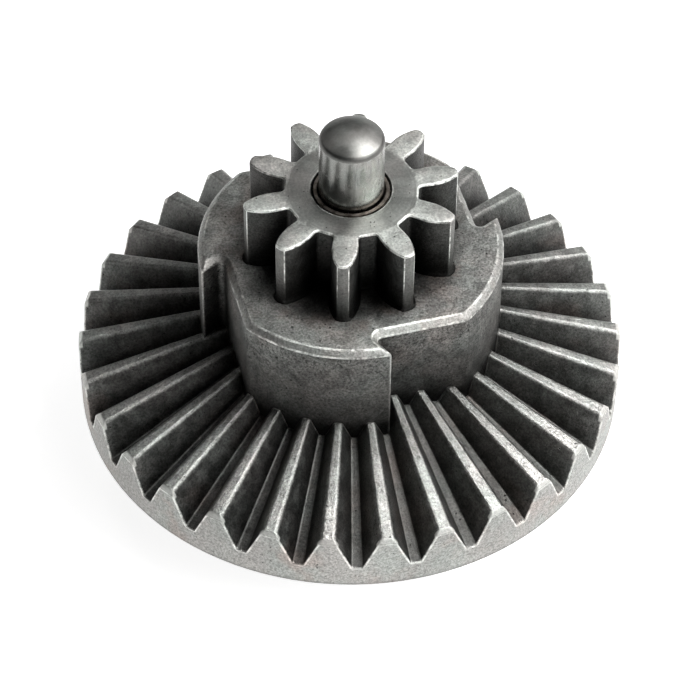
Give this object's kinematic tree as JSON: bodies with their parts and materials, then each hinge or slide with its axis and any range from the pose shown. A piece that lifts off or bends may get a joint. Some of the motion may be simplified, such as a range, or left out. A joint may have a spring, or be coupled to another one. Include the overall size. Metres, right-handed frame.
{
  "type": "compound bevel gear",
  "caption": "Straight bevel wheel with a stepped ratchet hub and a spur pinion above it, turning on a short round axle with domed ends.",
  "frame": {"origin": "on the axis, in the face of the small thrust boss at the back, where the lower axle stub leaves the gear", "axes": "+Z along the axis, from the bevel wheel's back towards the pinion; X and Y square to it, with one ratchet step about 16 degrees from +X"},
  "size_m": [0.026, 0.026, 0.0207],
  "materials": {
    "axle_steel": "ground and polished, faint turning marks",
    "bush_bronze": "oiled sintered bronze, darkened",
    "sintered_wheel": "sintered steel, fine grain, worn bright on the tooth tips",
    "sintered_hub": "sintered steel, fine grain, worn bright on the edges",
    "sintered_pinion": "sintered steel, fine grain, worn bright on the edges"
  },
  "bodies": {
    "axle": {"axle": "axle_steel"},
    "gear": {"axle_bush": "bush_bronze", "bevel_wheel": "sintered_wheel", "ratchet_hub": "sintered_hub", "spur_pinion": "sintered_pinion"}
  },
  "joints": [
    {"name": "gear_spin", "type": "hinge", "parent": "axle", "child": "gear", "pos_m": [0, 0, 0.0065], "axis": [0, 0, 1], "continuous": true}
  ]
}
